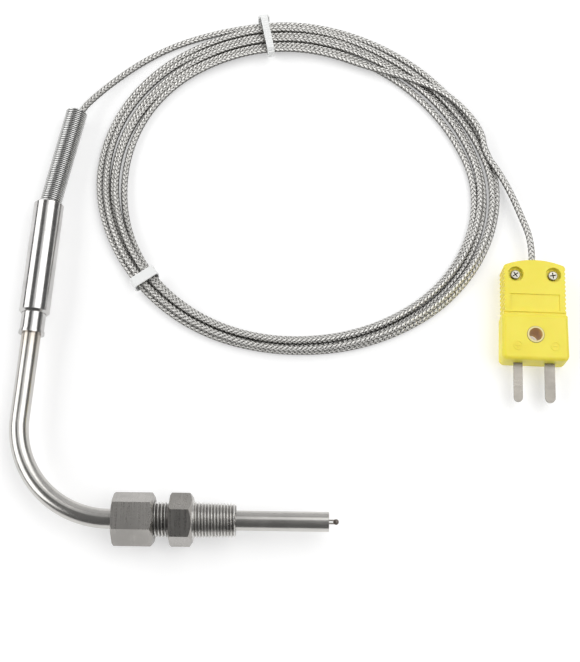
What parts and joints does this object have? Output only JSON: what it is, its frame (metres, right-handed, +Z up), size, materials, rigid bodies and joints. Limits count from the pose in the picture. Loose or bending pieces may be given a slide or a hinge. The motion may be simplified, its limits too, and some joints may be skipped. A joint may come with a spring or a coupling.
{
  "type": "exhaust gas thermocouple",
  "caption": "Bent mineral-insulated temperature probe with an exposed bead, a sliding compression fitting, a spring strain relief and a coiled braided lead to a flat-pin plug.",
  "frame": {"origin": "on the surface that it lies on, under the middle of the box round the probe from its tip to the end of its spring; the lead, its ties and the plug are left out of that box", "axes": "+X along the fitting's axis, towards the measuring tip; +Y along the arm, towards the spring; +Z up, away from the surface"},
  "size_m": [0.172, 0.181, 0.0157],
  "materials": {
    "sheath_steel": "satin",
    "fitting_steel": "turned and brushed",
    "ferrule_steel": "turned",
    "polished_steel": "polished",
    "spring_steel": "bright drawn",
    "steel_braid": "woven wire braid",
    "thermoelement_wire": "drawn nickel alloy",
    "bead_metal": "welded, oxidised",
    "magnesia": "pressed mineral powder",
    "potting_resin": "matt resin",
    "conductor_insulation_green": "glass yarn",
    "conductor_insulation_white": "glass yarn",
    "tie_nylon": "natural nylon",
    "plug_yellow": "moulded, fine texture",
    "eyelet_cream": "smooth",
    "prong_alloy": "stamped nickel alloy",
    "screw_steel": "plated"
  },
  "bodies": {
    "probe": {"sheath_tube": "sheath_steel", "mineral_insulation": "magnesia", "tip_seal": "magnesia", "chromel_leg": "thermoelement_wire", "alumel_leg": "thermoelement_wire", "junction_bead": "bead_metal", "transition_ring": "polished_steel", "transition_sleeve": "polished_steel", "sleeve_potting": "potting_resin", "splice_crimp_positive": "thermoelement_wire", "splice_crimp_negative": "thermoelement_wire", "lead_conductor_positive": "conductor_insulation_green", "lead_conductor_negative": "conductor_insulation_white", "strain_relief_spring": "spring_steel", "lead_in_spring": "steel_braid", "cable_near": "steel_braid", "cable_coil": "steel_braid", "cable_far": "steel_braid", "cable_tie_upper": "tie_nylon", "cable_tie_lower": "tie_nylon", "plug_base": "plug_yellow", "prong_positive": "prong_alloy", "prong_negative": "prong_alloy", "terminal_washer_positive": "screw_steel", "terminal_washer_negative": "screw_steel", "plug_conductor_positive": "conductor_insulation_green", "plug_conductor_negative": "conductor_insulation_white"},
    "front_ferrule": {"front_ferrule": "ferrule_steel"},
    "fitting_body": {"fitting_body": "fitting_steel"},
    "rear_ferrule": {"rear_ferrule": "ferrule_steel"},
    "compression_nut": {"compression_nut": "fitting_steel"},
    "plug_cover": {"plug_cover": "plug_yellow", "plug_eyelet": "eyelet_cream"},
    "cover_screw_left": {"cover_screw_left": "screw_steel"},
    "cover_screw_right": {"cover_screw_right": "screw_steel"},
    "terminal_screw_positive": {"terminal_screw_positive": "screw_steel"},
    "terminal_screw_negative": {"terminal_screw_negative": "screw_steel"}
  },
  "joints": [
    {"name": "fitting_slide", "type": "slide", "parent": "probe", "child": "front_ferrule", "axis": [1, 0, 0], "range_m": [0, 0.02]},
    {"name": "fitting_turn", "type": "hinge", "parent": "front_ferrule", "child": "fitting_body", "pos_m": [0.003, -0.06357, 0.00785], "axis": [1, 0, 0], "continuous": true},
    {"name": "nut_travel", "type": "slide", "parent": "front_ferrule", "child": "rear_ferrule", "axis": [-1, 0, 0], "range_m": [0, 0.0035]},
    {"name": "nut_turn", "type": "hinge", "parent": "rear_ferrule", "child": "compression_nut", "pos_m": [-0.0113, -0.06357, 0.00785], "axis": [-1, 0, 0], "range_deg": [0, 1260]},
    {"name": "cover_lift", "type": "slide", "parent": "probe", "child": "plug_cover", "axis": [0, 0, 1], "range_m": [0, 0.012]},
    {"name": "cover_screw_left_turn", "type": "hinge", "parent": "plug_cover", "child": "cover_screw_left", "pos_m": [0.10575, 0.01527, 0.0075], "axis": [0, 0, 1], "continuous": true},
    {"name": "cover_screw_right_turn", "type": "hinge", "parent": "plug_cover", "child": "cover_screw_right", "pos_m": [0.11754, 0.01502, 0.0075], "axis": [0, 0, 1], "continuous": true},
    {"name": "terminal_screw_positive_turn", "type": "hinge", "parent": "probe", "child": "terminal_screw_positive", "pos_m": [0.10644, 0.0029, 0.0045], "axis": [0, 0, 1], "continuous": true},
    {"name": "terminal_screw_negative_turn", "type": "hinge", "parent": "probe", "child": "terminal_screw_negative", "pos_m": [0.11633, 0.00269, 0.0045], "axis": [0, 0, 1], "continuous": true}
  ],
  "couplings": [
    {"joint": "nut_travel", "follows": "nut_turn", "m_per_rad": 0.00015915}
  ]
}
